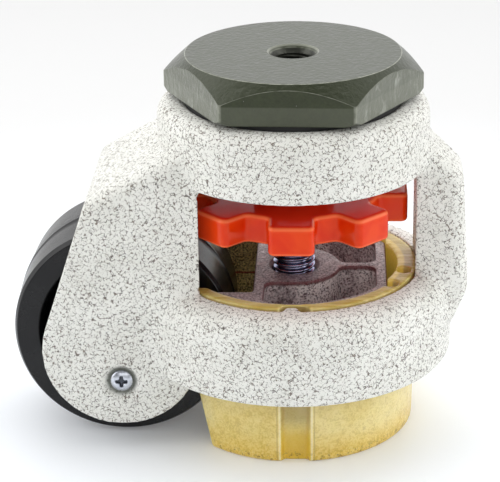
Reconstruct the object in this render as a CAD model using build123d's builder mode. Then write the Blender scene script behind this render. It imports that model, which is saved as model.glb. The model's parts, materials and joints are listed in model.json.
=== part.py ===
"""Levelling castor: a swivel castor whose keyed foot is screwed down by a lobed dial.

The origin is on the floor, under the swivel axis, with +Z up.
The wheel trails towards -X and its axle lies along Y.
"""
from build123d import *
from math import atan2, cos, hypot, radians, sin, tan
import os

# Wheel and axle
wheel_radius = 31.5
wheel_half_width = 16.2
wheel_recess_radius = 23.5
wheel_recess_depth = 6.5
wheel_hub_radius = 13.0
tread_crown = 0.6
rim_lip = 1.2
trail = 48.2
axle_radius = 5.0
bearing_radius = 11.0
bearing_width = 9.0
bearing_ring = 1.7
hub_washer_radius = 8.5
hub_relief = 2.0
wheel_side_gap = 1.3
wheel_top_gap = 3.0
wheel_foot_gap = 5.5
notch_side_gap = 3.8

# Foot: a cast plate held in a moulded cup
plate_radius = 31.0
plate_top = 46.0
plate_flat_x = 26.4
pocket_radius = 27.8
pocket_depth = 11.0
pocket_corner = 2.5
boss_radius = 13.2
boss_recess_radius = 7.2
boss_recess_depth = 0.8
rib_width = 3.2
cup_floor = 9.0
cup_wall = 3.9
cup_taper = 0.8
cup_rim = 1.4
cup_left_x = -22.8
cup_left_lean = 13.4
crescent_radius = 29.5
dimple_radius = 2.1
dimple_circle = 31.9
dimple_turns = (-31.3, -12.6)
dimple_depth = 3.0
groove_play = 1.6
groove_turn = 1.6
thread_wall = 11.2
foot_bore_radius = 9.2

# Housing
ring_bottom = 22.3
ring_top = 47.0
ring_wall = 9.4
ring_edge = 7.0
ring_foot_edge = 1.5
window_height = 31.0
window_corner = 2.5
collar_radius = 38.0
collar_edge = 4.5
collar_draft = 0.7
ear_thickness = 7.5
lobe_radius = 22.0
lobe_drop = 2.5
roof_drop = 12.7
roof_angle = 28.8
roof_back = 8.2
roof_wall = 6.0
roof_edge = 4.5
roof_corner = 7.0
post_half_width = 10.5
post_reach = 49.2
post_edge = 4.0
post_lean = 1.8
post_foot_drop = 5.5
post_foot_end = 16.0
shoulder_drop = 11.5
shoulder_fall = 2.0
casting_fillet = 1.5
key_reach = 3.1
key_width = 5.8

# Dial and adjusting screw
screw_radius = 6.0
screw_bottom = 23.5
dial_radius = 32.0
dial_root_radius = 24.5
dial_lobe_count = 8
dial_lobe_width = 12.6
dial_thickness = 8.4
dial_tip_fillet = 1.6
dial_root_fillet = 2.0
dial_chamfer = 0.8
dial_clearance = 14.4
hub_radius = 11.5
pin_radius = 1.5
thrust_thickness = 1.2
thrust_radius = 11.0
clip_thickness = 1.0
clip_radius = 8.8
clip_groove = 0.7
clip_gap = 0.2
screw_land = 0.8
stop_radius = 8.6
stop_thickness = 1.6
stop_screw_radius = 2.5
stop_head_radius = 4.4
stop_socket = 1.5
stop_head_height = 2.4
stop_screw_length = 10.0

# Swivel head
plate_thickness = 2.0
seat_radius = 25.0
cavity_radius = 18.0
plate_screw_radius = 1.5
plate_screw_circle = 21.4
plate_screw_length = 7.5
plate_screw_count = 3
kingpin_radius = 10.0
kingpin_lip = 0.4
nut_thickness = 4.0
nut_flats = 30.0
washer_thickness = 1.2
washer_radius = 15.0
web_thickness = 4.0
bush_wall = 2.0
race_thickness = 1.5
race_inner_radius = 17.0
ball_radius = 2.0
ball_count = 16
ball_seat = 0.45
swivel_gap = 1.3
seal_width = 2.2
seal_depth = 1.0
seal_cover = 0.75

# Hexagon mount
hex_thickness = 11.4
hex_flats = 62.5
hex_face_radius = 29.8
hex_chamfer_angle = 43.0
hex_foot_radius = 34.8
hex_foot_angle = 45.0
hex_turn = -1.6
tap_radius = 5.1
tap_mouth_radius = 7.1
tap_depth = 20.0

# Keepers that close the axle slots
slot_depth = 4.5
keeper_drop = 22.0
keeper_overlap = 1.0
keeper_screw_radius = 1.5
keeper_screw_drop = 11.3
screw_head_radius = 3.15
screw_head_height = 1.7
screw_cross_width = 1.0
screw_cross_reach = 1.9
screw_cross_depth = 0.9
dish_radius = 5.6
dish_depth = 1.6

# Small edges and clearances
small_chamfer = 0.6
head_fillet = 0.9
running = 0.05
fit = 0.1
air = 0.4
guide = 0.6

# Levels and radii that follow
axle_x = -trail
axle_z = wheel_radius
ear_inner = wheel_half_width + wheel_side_gap
ear_outer = ear_inner + ear_thickness
notch_half_width = wheel_half_width + notch_side_gap
notch_x = axle_x + wheel_radius + wheel_foot_gap
cup_inner_radius = plate_radius + fit
cup_radius = cup_inner_radius + cup_wall
cup_foot_radius = cup_radius - cup_taper
cup_top = plate_top + cup_rim
ring_bore = cup_radius + guide
ring_radius = ring_bore + ring_wall
groove_floor = ring_bore - key_reach - air
groove_mouth = key_width / 2 + groove_play
thread_bottom = plate_top - thread_wall
dial_bottom = ring_top + dial_clearance
dial_top = dial_bottom + dial_thickness
collar_bottom = ring_top + window_height
hub_top = collar_bottom - thrust_thickness
seat_top = collar_bottom + plate_thickness
clip_bottom = seat_top + clip_gap
clip_top = clip_bottom + clip_thickness
screw_top = clip_top + screw_land
kingpin_end = screw_top + air
nut_bottom = kingpin_end + kingpin_lip
nut_top = nut_bottom + nut_thickness
web_bottom = nut_top + washer_thickness
web_top = web_bottom + web_thickness
ball_level = web_top + race_thickness - ball_seat + ball_radius
hex_bottom = ball_level + ball_radius - ball_seat + race_thickness
hex_top = hex_bottom + hex_thickness
collar_top = hex_bottom - swivel_gap
bush_radius = kingpin_radius + running + bush_wall
seal_radius = hex_flats / 2 - seal_cover
recess_radius = seal_radius + fit - seal_width
race_outer_radius = recess_radius - air
ball_circle = (race_inner_radius + race_outer_radius) / 2
slot_end = ear_inner + slot_depth
keeper_screw_z = axle_z - keeper_screw_drop
roof_slope = tan(radians(roof_angle))


def roof_z(x):
    """Height of the fork's sloping roof at x."""
    return collar_top - roof_drop + roof_slope * (x + collar_radius)


def tangent_point(from_x, from_z, centre_x, centre_z, radius):
    """Point where the line from a place above a circle touches it on its -X side."""
    dx, dz = from_x - centre_x, from_z - centre_z
    reach = hypot(dx, dz)
    angle = atan2(dz, dx) + atan2((reach**2 - radius**2) ** 0.5, radius)
    return centre_x + radius * cos(angle), centre_z + radius * sin(angle)


def outside_bore(edge):
    """True for an edge that the bore for the foot leaves standing."""
    middle = edge.center()
    return hypot(middle.X, middle.Y) > ring_bore + fit


def turned(level):
    """Horizontal plane at a height."""
    return Plane.XY.offset(level)


def washer(bottom, height, bore, radius):
    """Flat ring about the swivel axis."""
    with BuildPart() as ring:
        with BuildSketch(turned(bottom)):
            Circle(radius)
            Circle(bore, mode=Mode.SUBTRACT)
        extrude(amount=height)
    return ring


# Hexagon mount: flange, kingpin and blind tapped hole in one forging
with BuildPart() as hex_mount:
    with BuildSketch(turned(hex_bottom)):
        RegularPolygon(hex_flats / 2, 6, major_radius=False, rotation=hex_turn)
    extrude(amount=hex_thickness)
    for level, face_radius, slope in (
        (hex_top, hex_face_radius, -tan(radians(hex_chamfer_angle))),
        (hex_bottom, hex_foot_radius, tan(radians(hex_foot_angle))),
    ):
        with BuildSketch(Plane.XZ):
            with BuildLine():
                Polyline(
                    (face_radius, level),
                    (hex_flats, level),
                    (hex_flats, level + slope * (hex_flats - face_radius)),
                    close=True,
                )
            make_face()
        revolve(axis=Axis.Z, mode=Mode.SUBTRACT)
    with BuildSketch(turned(kingpin_end)):
        Circle(kingpin_radius)
    extrude(amount=hex_bottom - kingpin_end)
    with Locations((0, 0, hex_top)):
        CounterSinkHole(tap_radius, tap_mouth_radius, depth=tap_depth, counter_sink_angle=90)

# Upper race: a pressed ring with a ball groove in its lower face
with BuildPart() as upper_race:
    with BuildSketch(turned(hex_bottom - race_thickness)):
        Circle(race_outer_radius)
        Circle(race_inner_radius, mode=Mode.SUBTRACT)
    extrude(amount=race_thickness)
    with BuildSketch(Plane.XZ):
        with Locations((ball_circle, ball_level)):
            Circle(ball_radius + fit)
    revolve(axis=Axis.Z, mode=Mode.SUBTRACT)

# Nut and washer that hold the kingpin in the housing
with BuildPart() as swivel_nut:
    with BuildSketch(turned(nut_bottom)):
        RegularPolygon(nut_flats / 2, 6, major_radius=False)
        Circle(kingpin_radius + running, mode=Mode.SUBTRACT)
    extrude(amount=nut_thickness)
    chamfer(swivel_nut.edges().group_by(Axis.Z)[0].filter_by(GeomType.LINE), length=small_chamfer)

swivel_washer = washer(nut_top, washer_thickness, kingpin_radius + running, washer_radius)

# Fork: side profile of roof, back and axle lobe, rounded across by the roof's own section
fork_right = -(((ring_bore - window_corner) ** 2 - ear_outer**2) ** 0.5)
fork_back = axle_x - roof_back
lobe_z = axle_z - lobe_drop
back_x, back_z = tangent_point(fork_back, roof_z(fork_back), axle_x, lobe_z, lobe_radius)
well_back = fork_back + roof_wall / 2
well_drop = roof_wall / cos(radians(roof_angle))
lobe_side = (lobe_radius**2 - (ring_bottom - lobe_z) ** 2) ** 0.5
roof_plane = Plane(
    origin=(fork_back, 0, roof_z(fork_back)),
    x_dir=(0, 1, 0),
    z_dir=(cos(radians(roof_angle)), 0, sin(radians(roof_angle))),
)
with BuildPart() as fork:
    with BuildSketch(Plane.XZ):
        with BuildLine():
            Polyline(
                (axle_x + lobe_side, ring_bottom),
                (fork_right, ring_bottom),
                (fork_right, roof_z(fork_right)),
                (fork_back, roof_z(fork_back)),
                (back_x, back_z),
            )
            ThreePointArc(
                (back_x, back_z),
                (axle_x, lobe_z - lobe_radius),
                (axle_x + lobe_side, ring_bottom),
            )
        make_face()
    extrude(amount=ear_outer, both=True)
    back_edge = fork.edges().filter_by(Axis.Y).sort_by_distance((fork_back, 0, roof_z(fork_back)))[0]
    fillet(back_edge, radius=roof_corner)
    with BuildSketch(roof_plane) as roof_section:
        with Locations((0, -hex_top)):
            Rectangle(2 * ear_outer, 2 * hex_top)
        fillet(roof_section.vertices().group_by(Axis.Y)[-1], radius=roof_edge)
    extrude(amount=2 * trail, both=True, mode=Mode.INTERSECT)
    split(bisect_by=turned(collar_top), keep=Keep.BOTTOM)

# Post: the strut opposite the wheel, joined to the collar by a sloping shoulder
post_root = ring_bore - ring_wall
with BuildPart() as post:
    with BuildSketch(Plane.XZ):
        with BuildLine():
            Polyline(
                (post_root, collar_top - shoulder_drop),
                (collar_radius, collar_top - shoulder_drop),
                (post_reach - post_lean, collar_bottom - shoulder_fall),
                (post_reach, ring_top),
                (post_reach, ring_top - post_foot_drop),
                (ring_radius, ring_top - post_foot_end),
                (post_root, ring_top - post_foot_end),
                close=True,
            )
        make_face()
    extrude(amount=post_half_width, both=True)
    outer_edges = post.edges().filter_by(lambda edge: edge.center().X > collar_radius + 1.0)
    fillet(outer_edges.filter_by(Axis.Y), radius=post_edge)
    side_edges = post.faces().filter_by(Plane.XZ).edges()
    fillet(side_edges.filter_by(lambda edge: edge.center().X > collar_radius), radius=post_edge)

# Housing: one casting of collar, fork, ring and post, bored for the foot and slotted for the wheel
with BuildPart() as housing:
    with BuildSketch(Plane.XZ) as collar_profile:
        with BuildLine():
            Polyline(
                (0, collar_bottom),
                (collar_radius - collar_draft, collar_bottom),
                (collar_radius, (collar_bottom + collar_top) / 2),
                (collar_radius, collar_top),
                (0, collar_top),
                close=True,
            )
        make_face()
        top_corners = collar_profile.vertices().group_by(Axis.Y)[-1]
        fillet(top_corners.sort_by(Axis.X)[-1], radius=collar_edge)
    revolve(axis=Axis.Z)
    with BuildSketch(Plane.XZ) as ring_profile:
        with Locations(((ring_bore + ring_radius) / 2, (ring_bottom + ring_top) / 2)):
            Rectangle(ring_wall, ring_top - ring_bottom)
        outer_corners = ring_profile.vertices().group_by(Axis.X)[-1].sort_by(Axis.Y)
        fillet(outer_corners[0], radius=ring_foot_edge)
        fillet(ring_profile.vertices().sort_by(Axis.Y)[-2:].sort_by(Axis.X)[-1], radius=ring_edge)
    revolve(axis=Axis.Z)
    # Fork, filleted where its sides grow out of the ring
    add(fork.part)
    fork_joints = housing.edges(Select.NEW).filter_by(lambda edge: edge.center().Z < ring_top + fit)
    fillet(fork_joints.filter_by(outside_bore), radius=casting_fillet)
    add(post.part)
    # Bore for foot and dial, its end rounded where it leaves the fork and post
    with BuildSketch(Plane.XZ) as bore_profile:
        with Locations((ring_bore / 2, collar_bottom / 2)):
            Rectangle(ring_bore, collar_bottom)
        top_corners = bore_profile.vertices().group_by(Axis.Y)[-1]
        fillet(top_corners.sort_by(Axis.X)[-1], radius=window_corner)
    revolve(axis=Axis.Z, mode=Mode.SUBTRACT)
    # Wheel well, open below and behind
    with BuildSketch(Plane.XZ):
        with BuildLine():
            Polyline(
                (axle_x - 2 * wheel_radius, 0),
                (0, 0),
                (0, collar_bottom),
                (-ring_bore, collar_bottom),
                (-collar_radius, roof_z(-collar_radius) - well_drop),
                (well_back, roof_z(well_back) - well_drop),
                (fork_back, 2 * wheel_radius + wheel_top_gap),
                (axle_x - 2 * wheel_radius, 2 * wheel_radius + wheel_top_gap),
                close=True,
            )
        make_face()
    extrude(amount=ear_inner, both=True, mode=Mode.SUBTRACT)
    # Seat, nut cavity, web bore and race recess
    for level, radius, height in (
        (collar_bottom, seat_radius + fit, plate_thickness),
        (seat_top, cavity_radius, web_bottom - seat_top),
        (web_bottom, bush_radius, web_thickness),
        (web_top, recess_radius, collar_top - web_top),
    ):
        with BuildSketch(turned(level)):
            Circle(radius)
        extrude(amount=height, mode=Mode.SUBTRACT)
    with BuildSketch(turned(collar_top - seal_depth)):
        Circle(seal_radius + fit)
    extrude(amount=seal_depth, mode=Mode.SUBTRACT)
    with BuildSketch(turned(seat_top)):
        with PolarLocations(plate_screw_circle, plate_screw_count):
            Circle(plate_screw_radius + running)
    extrude(amount=plate_screw_length, mode=Mode.SUBTRACT)
    # Axle slots in the ears, and the dished screw seats outside them
    for side in (-1, 1):
        with BuildSketch(Plane.XZ.offset(-side * ear_inner)):
            with Locations((axle_x, axle_z)):
                Circle(axle_radius + fit)
            with Locations((axle_x, axle_z / 2)):
                Rectangle(2 * (axle_radius + fit), axle_z)
        extrude(amount=-side * slot_depth, mode=Mode.SUBTRACT)
        with Locations(Plane((axle_x, side * ear_outer, keeper_screw_z), z_dir=(0, side, 0))):
            Hole(keeper_screw_radius + fit, depth=ear_thickness)
            with Locations((0, 0, -dish_depth)):
                Cone(
                    screw_head_radius + air,
                    dish_radius,
                    dish_depth,
                    align=(Align.CENTER, Align.CENTER, Align.MIN),
                    mode=Mode.SUBTRACT,
                )
    # Key that runs in the foot's groove
    with BuildSketch(turned(ring_bottom + 1.0)):
        with BuildLine():
            Polyline(
                (-key_width / 2, -ring_bore - 1.0),
                (-key_width / 2, -ring_bore),
                (-key_width / 5, -ring_bore + key_reach),
                (key_width / 5, -ring_bore + key_reach),
                (key_width / 2, -ring_bore),
                (key_width / 2, -ring_bore - 1.0),
                close=True,
            )
        make_face()
    extrude(amount=ring_top - ring_bottom - 1.0)

# Swivel bush, lower race, balls and seal carried by the housing
swivel_bush = washer(web_bottom, web_thickness, kingpin_radius + running, bush_radius - running)
dust_seal = washer(
    collar_top - seal_depth,
    seal_depth + swivel_gap - fit,
    recess_radius + fit,
    seal_radius,
)

with BuildPart() as lower_race:
    with BuildSketch(turned(web_top)):
        Circle(race_outer_radius)
        Circle(race_inner_radius, mode=Mode.SUBTRACT)
    extrude(amount=race_thickness)
    with BuildSketch(Plane.XZ):
        with Locations((ball_circle, ball_level)):
            Circle(ball_radius + running)
    revolve(axis=Axis.Z, mode=Mode.SUBTRACT)

with BuildPart() as swivel_balls:
    with Locations(turned(ball_level)):
        with PolarLocations(ball_circle, ball_count):
            Sphere(ball_radius)

# Bearing plate: takes the dial's thrust, held to the collar by countersunk screws
with BuildPart() as bearing_plate:
    with BuildSketch(turned(collar_bottom)):
        Circle(seat_radius)
        Circle(screw_radius + running, mode=Mode.SUBTRACT)
    extrude(amount=plate_thickness)
    with Locations(Plane(origin=(0, 0, collar_bottom), x_dir=(1, 0, 0), z_dir=(0, 0, -1))):
        with PolarLocations(plate_screw_circle, plate_screw_count):
            CounterSinkHole(
                plate_screw_radius + running,
                2 * plate_screw_radius + running,
                counter_sink_angle=90,
            )

with BuildPart() as plate_screws:
    with Locations(turned(collar_bottom)):
        with PolarLocations(plate_screw_circle, plate_screw_count):
            Cylinder(
                plate_screw_radius,
                plate_thickness + plate_screw_length - air,
                align=(Align.CENTER, Align.CENTER, Align.MIN),
            )
            Cone(
                2 * plate_screw_radius,
                plate_screw_radius,
                plate_screw_radius,
                align=(Align.CENTER, Align.CENTER, Align.MIN),
            )

# Axle across the fork, with a spacing washer at each side of the wheel
axle_line = Axis((axle_x, 0, axle_z), (0, 1, 0))
axle_plane = Plane(origin=(axle_x, 0, axle_z), x_dir=(1, 0, 0), z_dir=(0, -1, 0))
with BuildPart() as axle:
    with BuildSketch(axle_plane):
        Circle(axle_radius)
    extrude(amount=slot_end - running, both=True)
    chamfer(axle.edges().filter_by(GeomType.CIRCLE), length=small_chamfer)

# Wheel: crowned tread, recessed sides and a hub bored for a bearing at each end
with BuildPart() as wheel:
    with BuildSketch(Plane(origin=(axle_x, 0, axle_z), x_dir=(0, 1, 0), z_dir=(1, 0, 0))):
        with BuildLine():
            edge = wheel_half_width
            floor = wheel_half_width - wheel_recess_depth
            rim = wheel_radius - tread_crown
            seat = wheel_half_width - bearing_width
            half = Polyline(
                (edge - rim_lip, rim),
                (edge, rim - rim_lip),
                (edge, wheel_recess_radius),
                (floor, wheel_recess_radius - 1.0),
                (floor, wheel_hub_radius + 1.0),
                (edge - air, wheel_hub_radius),
                (edge - air, bearing_radius + running),
                (seat, bearing_radius + running),
                (seat, axle_radius + hub_relief),
                (0, axle_radius + hub_relief),
            )
            mirror(half, about=Plane.YZ)
            ThreePointArc((rim_lip - edge, rim), (0, wheel_radius), (edge - rim_lip, rim))
        make_face()
    revolve(axis=axle_line)

# Dial: lobed thumb wheel with a hub pinned to the adjusting screw
with BuildPart() as dial:
    with BuildSketch(turned(dial_bottom)) as dial_outline:
        Circle(dial_root_radius)
        with PolarLocations(0, dial_lobe_count, start_angle=-90):
            with Locations((dial_radius / 2, 0)):
                Rectangle(dial_radius, dial_lobe_width)
        lobe_tips = dial_outline.vertices().filter_by(lambda corner: hypot(corner.X, corner.Y) > dial_radius)
        fillet(lobe_tips, radius=dial_tip_fillet)
        lobe_roots = dial_outline.vertices().filter_by(
            lambda corner: hypot(corner.X, corner.Y) < dial_root_radius + 0.1
        )
        fillet(lobe_roots, radius=dial_root_fillet)
    extrude(amount=dial_thickness)
    chamfer(dial.edges().filter_by(Plane.XY), length=dial_chamfer)
    with BuildSketch(turned(dial_top)):
        Circle(hub_radius)
    extrude(amount=hub_top - dial_top)
    with BuildSketch(turned(dial_bottom)):
        Circle(screw_radius + running)
    extrude(amount=hub_top - dial_bottom, mode=Mode.SUBTRACT)
    pin_level = (dial_top + hub_top) / 2
    with BuildSketch(Plane.YZ.offset(-hub_radius)):
        with Locations((0, pin_level)):
            Circle(pin_radius + running)
    extrude(amount=2 * hub_radius, mode=Mode.SUBTRACT)

with BuildPart() as dial_pin:
    with BuildSketch(Plane.YZ):
        with Locations((0, pin_level)):
            Circle(pin_radius)
    extrude(amount=hub_radius - air, both=True)

# Adjusting screw: plain blank of the thread, cross-drilled, grooved for a clip and tapped below
with BuildPart() as adjusting_screw:
    with BuildSketch(turned(screw_bottom)):
        Circle(screw_radius)
    extrude(amount=screw_top - screw_bottom)
    chamfer(adjusting_screw.edges().filter_by(GeomType.CIRCLE), length=small_chamfer)
    with BuildSketch(turned(clip_bottom)):
        Circle(screw_radius + air)
        Circle(screw_radius - clip_groove, mode=Mode.SUBTRACT)
    extrude(amount=clip_thickness, mode=Mode.SUBTRACT)
    with BuildSketch(Plane.YZ):
        with Locations((0, pin_level)):
            Circle(pin_radius + running)
    extrude(amount=2 * screw_radius, both=True, mode=Mode.SUBTRACT)
    with BuildSketch(turned(screw_bottom)):
        Circle(stop_screw_radius + running)
    extrude(amount=stop_screw_length, mode=Mode.SUBTRACT)

thrust_washer = washer(hub_top, thrust_thickness, screw_radius + running, thrust_radius)
screw_clip = washer(clip_bottom, clip_thickness, screw_radius - clip_groove + running, clip_radius)
stop_washer = washer(screw_bottom - stop_thickness, stop_thickness, stop_screw_radius + running, stop_radius)

with BuildPart() as stop_screw:
    head_bottom = screw_bottom - stop_thickness - stop_head_height
    with BuildSketch(turned(head_bottom)):
        Circle(stop_head_radius)
    extrude(amount=stop_head_height)
    fillet(stop_screw.edges().sort_by(Axis.Z)[0], radius=head_fillet)
    with BuildSketch(turned(head_bottom + stop_head_height)):
        Circle(stop_screw_radius)
    extrude(amount=stop_thickness + stop_screw_length - air)
    with BuildSketch(turned(head_bottom)):
        RegularPolygon(stop_socket, 6, major_radius=False)
    extrude(amount=stop_head_height / 2, mode=Mode.SUBTRACT)

# Foot plate: casting with a tapped boss, two kidney pockets and a rib between them
with BuildPart() as foot_plate:
    with BuildSketch(turned(cup_floor)):
        Circle(plate_radius)
        with Locations((notch_x - plate_radius, 0)):
            Rectangle(2 * plate_radius, 2 * notch_half_width, mode=Mode.SUBTRACT)
        with Locations((plate_flat_x, 0)):
            Rectangle(plate_radius, 2 * plate_radius, align=(Align.MIN, Align.CENTER), mode=Mode.SUBTRACT)
    extrude(amount=plate_top - cup_floor)
    with BuildSketch(turned(plate_top)) as pockets:
        left = notch_x + rib_width
        right = plate_flat_x - rib_width
        with BuildLine():
            ThreePointArc(
                (left, -((pocket_radius**2 - left**2) ** 0.5)),
                (0, -pocket_radius),
                (right, -((pocket_radius**2 - right**2) ** 0.5)),
            )
            Polyline(
                (right, -((pocket_radius**2 - right**2) ** 0.5)),
                (right, -rib_width / 2),
                ((boss_radius**2 - rib_width**2 / 4) ** 0.5, -rib_width / 2),
            )
            ThreePointArc(
                ((boss_radius**2 - rib_width**2 / 4) ** 0.5, -rib_width / 2),
                (boss_radius * cos(radians(45)), -boss_radius * sin(radians(45))),
                (0, -boss_radius),
            )
            Polyline(
                (0, -boss_radius),
                (left, -boss_radius),
                (left, -((pocket_radius**2 - left**2) ** 0.5)),
            )
        make_face()
        fillet(pockets.vertices().filter_by(lambda corner: corner.X != 0), radius=pocket_corner)
        mirror(about=Plane.XZ)
    extrude(amount=-pocket_depth, mode=Mode.SUBTRACT)
    with BuildSketch(turned(cup_floor)):
        Circle(foot_bore_radius)
    extrude(amount=thread_bottom - cup_floor, mode=Mode.SUBTRACT)
    with Locations((0, 0, plate_top)):
        CounterBoreHole(screw_radius + running, boss_recess_radius, counter_bore_depth=boss_recess_depth)

# Foot cup: tapered outside, open at the wheel, thicker behind the plate's flat
with BuildPart() as foot_cup:
    with BuildSketch(Plane.XZ) as cup_profile:
        with BuildLine():
            Polyline(
                (0, 0),
                (cup_foot_radius, 0),
                (cup_radius, cup_top),
                (0, cup_top),
                close=True,
            )
        make_face()
    revolve(axis=Axis.Z)
    chamfer(foot_cup.edges().group_by(Axis.Z)[0], length=small_chamfer)
    with BuildSketch(turned(cup_floor)):
        Circle(cup_inner_radius)
        with Locations((plate_flat_x, 0)):
            Rectangle(plate_radius, 2 * plate_radius, align=(Align.MIN, Align.CENTER), mode=Mode.SUBTRACT)
        Circle(crescent_radius)
    extrude(amount=cup_top - cup_floor, mode=Mode.SUBTRACT)
    with BuildSketch(turned(0)):
        with Locations((notch_x - cup_radius, 0)):
            Rectangle(2 * cup_radius, 2 * notch_half_width)
    extrude(amount=cup_top, mode=Mode.SUBTRACT)
    with BuildSketch(Plane.XZ):
        with BuildLine():
            Polyline(
                (cup_left_x, 0),
                (cup_left_x - cup_top * tan(radians(cup_left_lean)), cup_top),
                (-2 * cup_radius, cup_top),
                (-2 * cup_radius, 0),
                close=True,
            )
        make_face()
    extrude(amount=cup_radius, both=True, mode=Mode.SUBTRACT)
    with BuildSketch(Plane.XY.rotated((0, 0, groove_turn))):
        with BuildLine():
            Polyline(
                (-groove_mouth, -cup_radius - 1.0),
                (-groove_mouth, -cup_radius),
                (-groove_mouth * 0.7, -groove_floor),
                (groove_mouth * 0.7, -groove_floor),
                (groove_mouth, -cup_radius),
                (groove_mouth, -cup_radius - 1.0),
                close=True,
            )
        make_face()
    extrude(amount=cup_top, mode=Mode.SUBTRACT)
    with Locations(turned(cup_top)):
        with Locations([Rotation(0, 0, turn) * Location((dimple_circle, 0, 0)) for turn in dimple_turns]):
            Hole(dimple_radius, depth=dimple_depth)

pieces = {
    "hex_mount": hex_mount,
    "upper_race": upper_race,
    "swivel_nut": swivel_nut,
    "swivel_washer": swivel_washer,
    "housing": housing,
    "swivel_bush": swivel_bush,
    "dust_seal": dust_seal,
    "lower_race": lower_race,
    "swivel_balls": swivel_balls,
    "bearing_plate": bearing_plate,
    "plate_screws": plate_screws,
    "axle": axle,
    "wheel": wheel,
    "dial": dial,
    "dial_pin": dial_pin,
    "adjusting_screw": adjusting_screw,
    "thrust_washer": thrust_washer,
    "screw_clip": screw_clip,
    "stop_washer": stop_washer,
    "stop_screw": stop_screw,
    "foot_plate": foot_plate,
    "foot_cup": foot_cup,
}

# Pairs at the near (-Y) and far (+Y) side: washer, bearing, keeper and keeper screw
for side_name, side in (("near", -1), ("far", 1)):
    outward = Plane(origin=(axle_x, 0, axle_z), x_dir=(-side, 0, 0), z_dir=(0, side, 0))
    with BuildPart() as hub_washer:
        with BuildSketch(outward.offset(wheel_half_width + fit)):
            Circle(hub_washer_radius)
            Circle(axle_radius + running, mode=Mode.SUBTRACT)
        extrude(amount=wheel_side_gap - fit)
    pieces[f"hub_washer_{side_name}"] = hub_washer

    with BuildPart() as wheel_bearing:
        with BuildSketch(outward.offset(wheel_half_width - bearing_width)):
            Circle(bearing_radius)
            Circle(axle_radius + running, mode=Mode.SUBTRACT)
        extrude(amount=bearing_width)
        with BuildSketch(outward.offset(wheel_half_width)):
            Circle(bearing_radius - bearing_ring)
            Circle(axle_radius + bearing_ring, mode=Mode.SUBTRACT)
        extrude(amount=-air, mode=Mode.SUBTRACT)
    pieces[f"wheel_bearing_{side_name}"] = wheel_bearing

    with BuildPart() as axle_keeper:
        with BuildSketch(outward.offset(ear_inner + fit)) as keeper_face:
            with Locations((0, (keeper_overlap - axle_radius - keeper_drop) / 2)):
                Rectangle(2 * axle_radius, keeper_overlap - axle_radius + keeper_drop)
            Circle(axle_radius + running, mode=Mode.SUBTRACT)
        extrude(amount=slot_depth - fit - running)
        with BuildSketch(outward.offset(ear_inner)):
            with Locations((0, keeper_screw_z - axle_z)):
                Circle(keeper_screw_radius + running)
        extrude(amount=slot_depth, mode=Mode.SUBTRACT)
    pieces[f"axle_keeper_{side_name}"] = axle_keeper

    with BuildPart() as keeper_screw:
        screw_plane = Plane(origin=(axle_x, side * ear_outer, keeper_screw_z), z_dir=(0, side, 0))
        with BuildSketch(screw_plane.offset(-dish_depth)):
            Circle(screw_head_radius)
        extrude(amount=screw_head_height)
        head_rim = keeper_screw.edges().filter_by(GeomType.CIRCLE).sort_by(Axis((0, 0, 0), (0, side, 0)))[-1]
        fillet(head_rim, radius=head_fillet)
        with BuildSketch(screw_plane.offset(-dish_depth)):
            Circle(keeper_screw_radius)
        extrude(amount=-(ear_thickness - dish_depth - fit))
        with BuildSketch(screw_plane.offset(screw_head_height - dish_depth)):
            Rectangle(2 * screw_cross_reach, screw_cross_width)
            Rectangle(screw_cross_width, 2 * screw_cross_reach)
        extrude(amount=-screw_cross_depth, mode=Mode.SUBTRACT)
    pieces[f"keeper_screw_{side_name}"] = keeper_screw

os.makedirs("parts", exist_ok=True)
for name, piece in pieces.items():
    piece.part.label = name
    export_step(piece.part, f"parts/{name}.step")
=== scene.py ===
import bmesh
import bpy
import json
import math
import numpy as np
from mathutils import Matrix, Vector


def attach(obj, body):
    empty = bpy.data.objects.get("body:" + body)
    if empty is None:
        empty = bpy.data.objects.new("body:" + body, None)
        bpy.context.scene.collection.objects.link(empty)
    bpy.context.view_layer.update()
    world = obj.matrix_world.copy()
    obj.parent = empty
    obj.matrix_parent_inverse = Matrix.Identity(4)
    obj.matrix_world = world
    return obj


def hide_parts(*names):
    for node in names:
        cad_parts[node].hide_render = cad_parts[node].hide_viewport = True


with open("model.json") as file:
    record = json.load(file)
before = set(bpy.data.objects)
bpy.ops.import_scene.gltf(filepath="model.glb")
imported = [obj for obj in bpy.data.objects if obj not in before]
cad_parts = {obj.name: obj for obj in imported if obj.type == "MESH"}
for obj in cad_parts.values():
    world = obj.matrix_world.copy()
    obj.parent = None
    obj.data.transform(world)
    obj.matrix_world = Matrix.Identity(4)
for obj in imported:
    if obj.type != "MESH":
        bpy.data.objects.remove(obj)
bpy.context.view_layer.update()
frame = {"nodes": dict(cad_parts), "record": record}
nodes = frame["nodes"]
mm = 0.001


# helpers for node trees

def newMaterial(name):
    material = bpy.data.materials.new(name)
    material.use_nodes = True
    tree = material.node_tree
    tree.nodes.clear()
    output = tree.nodes.new("ShaderNodeOutputMaterial")
    shader = tree.nodes.new("ShaderNodeBsdfPrincipled")
    tree.links.new(shader.outputs["BSDF"], output.inputs["Surface"])
    return material, tree, shader


def setInputs(tree, node, **inputs):
    # each input gets its value, or a link where a socket is given; _0 stands for the first input
    for key, value in inputs.items():
        socket = node.inputs[int(key[1:])] if key[0] == "_" else node.inputs[key.replace("_", " ")]
        if isinstance(value, bpy.types.NodeSocket):
            tree.links.new(value, socket)
        else:
            socket.default_value = value
    return node


def addNode(tree, kind, settings=None, **inputs):
    node = tree.nodes.new("ShaderNode" + kind)
    for key, value in (settings or {}).items():
        setattr(node, key, value)
    return setInputs(tree, node, **inputs)


def objectPlace(tree):
    return addNode(tree, "TexCoord").outputs["Object"]


def mapped(tree, place, **change):
    return addNode(tree, "Mapping", Vector=place, **change).outputs[0]


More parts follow.
